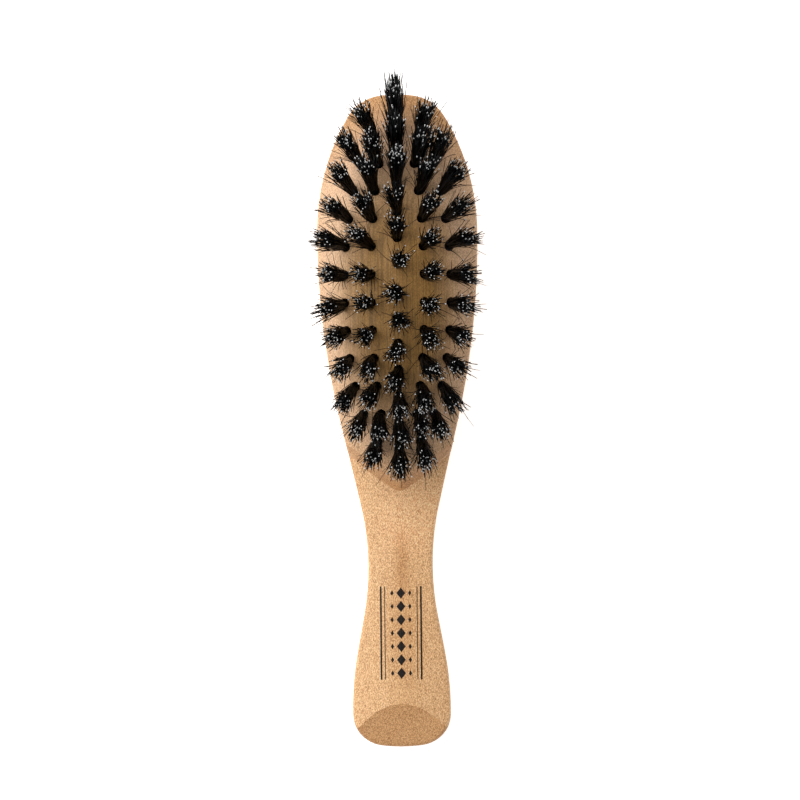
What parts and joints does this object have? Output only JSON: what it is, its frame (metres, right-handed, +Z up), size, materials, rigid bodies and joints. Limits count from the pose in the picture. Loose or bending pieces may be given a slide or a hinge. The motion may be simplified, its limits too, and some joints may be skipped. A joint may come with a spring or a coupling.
{
  "type": "beard brush",
  "caption": "Oval-headed wooden beard brush with a slim waisted handle and a domed face of fanned-out, anchored dark bristle tufts.",
  "frame": {"origin": "on the flat back, half way between toe and butt, on the middle line; the brush lies on its back there", "axes": "+Z up through the bristles, +Y along the brush to the toe, +X to the right seen from the bristle side"},
  "size_m": [0.0418, 0.17, 0.0315],
  "materials": {
    "maple_body": "satin",
    "dark_bristle": "glossy",
    "anchor_strip": "satin"
  },
  "bodies": {
    "root": {"brush_body": "maple_body", "tuft_centre_01": "dark_bristle", "tuft_centre_02": "dark_bristle", "tuft_centre_03": "dark_bristle", "tuft_centre_04": "dark_bristle", "tuft_centre_05": "dark_bristle", "tuft_centre_06": "dark_bristle", "tuft_centre_07": "dark_bristle", "tuft_centre_08": "dark_bristle", "tuft_centre_09": "dark_bristle", "tuft_centre_10": "dark_bristle", "tuft_centre_11": "dark_bristle", "tuft_centre_12": "dark_bristle", "tuft_centre_13": "dark_bristle", "tuft_inner_left_01": "dark_bristle", "tuft_inner_left_02": "dark_bristle", "tuft_inner_left_03": "dark_bristle", "tuft_inner_left_04": "dark_bristle", "tuft_inner_left_05": "dark_bristle", "tuft_inner_left_06": "dark_bristle", "tuft_inner_left_07": "dark_bristle", "tuft_inner_left_08": "dark_bristle", "tuft_inner_left_09": "dark_bristle", "tuft_inner_left_10": "dark_bristle", "tuft_inner_right_01": "dark_bristle", "tuft_inner_right_02": "dark_bristle", "tuft_inner_right_03": "dark_bristle", "tuft_inner_right_04": "dark_bristle", "tuft_inner_right_05": "dark_bristle", "tuft_inner_right_06": "dark_bristle", "tuft_inner_right_07": "dark_bristle", "tuft_inner_right_08": "dark_bristle", "tuft_inner_right_09": "dark_bristle", "tuft_inner_right_10": "dark_bristle", "tuft_outer_left_01": "dark_bristle", "tuft_outer_left_02": "dark_bristle", "tuft_outer_left_03": "dark_bristle", "tuft_outer_left_04": "dark_bristle", "tuft_outer_left_05": "dark_bristle", "tuft_outer_left_06": "dark_bristle", "tuft_outer_left_07": "dark_bristle", "tuft_outer_left_08": "dark_bristle", "tuft_outer_left_09": "dark_bristle", "tuft_outer_left_10": "dark_bristle", "tuft_outer_left_11": "dark_bristle", "tuft_outer_left_12": "dark_bristle", "tuft_outer_right_01": "dark_bristle", "tuft_outer_right_02": "dark_bristle", "tuft_outer_right_03": "dark_bristle", "tuft_outer_right_04": "dark_bristle", "tuft_outer_right_05": "dark_bristle", "tuft_outer_right_06": "dark_bristle", "tuft_outer_right_07": "dark_bristle", "tuft_outer_right_08": "dark_bristle", "tuft_outer_right_09": "dark_bristle", "tuft_outer_right_10": "dark_bristle", "tuft_outer_right_11": "dark_bristle", "tuft_outer_right_12": "dark_bristle", "tuft_anchors": "anchor_strip"}
  },
  "joints": []
}
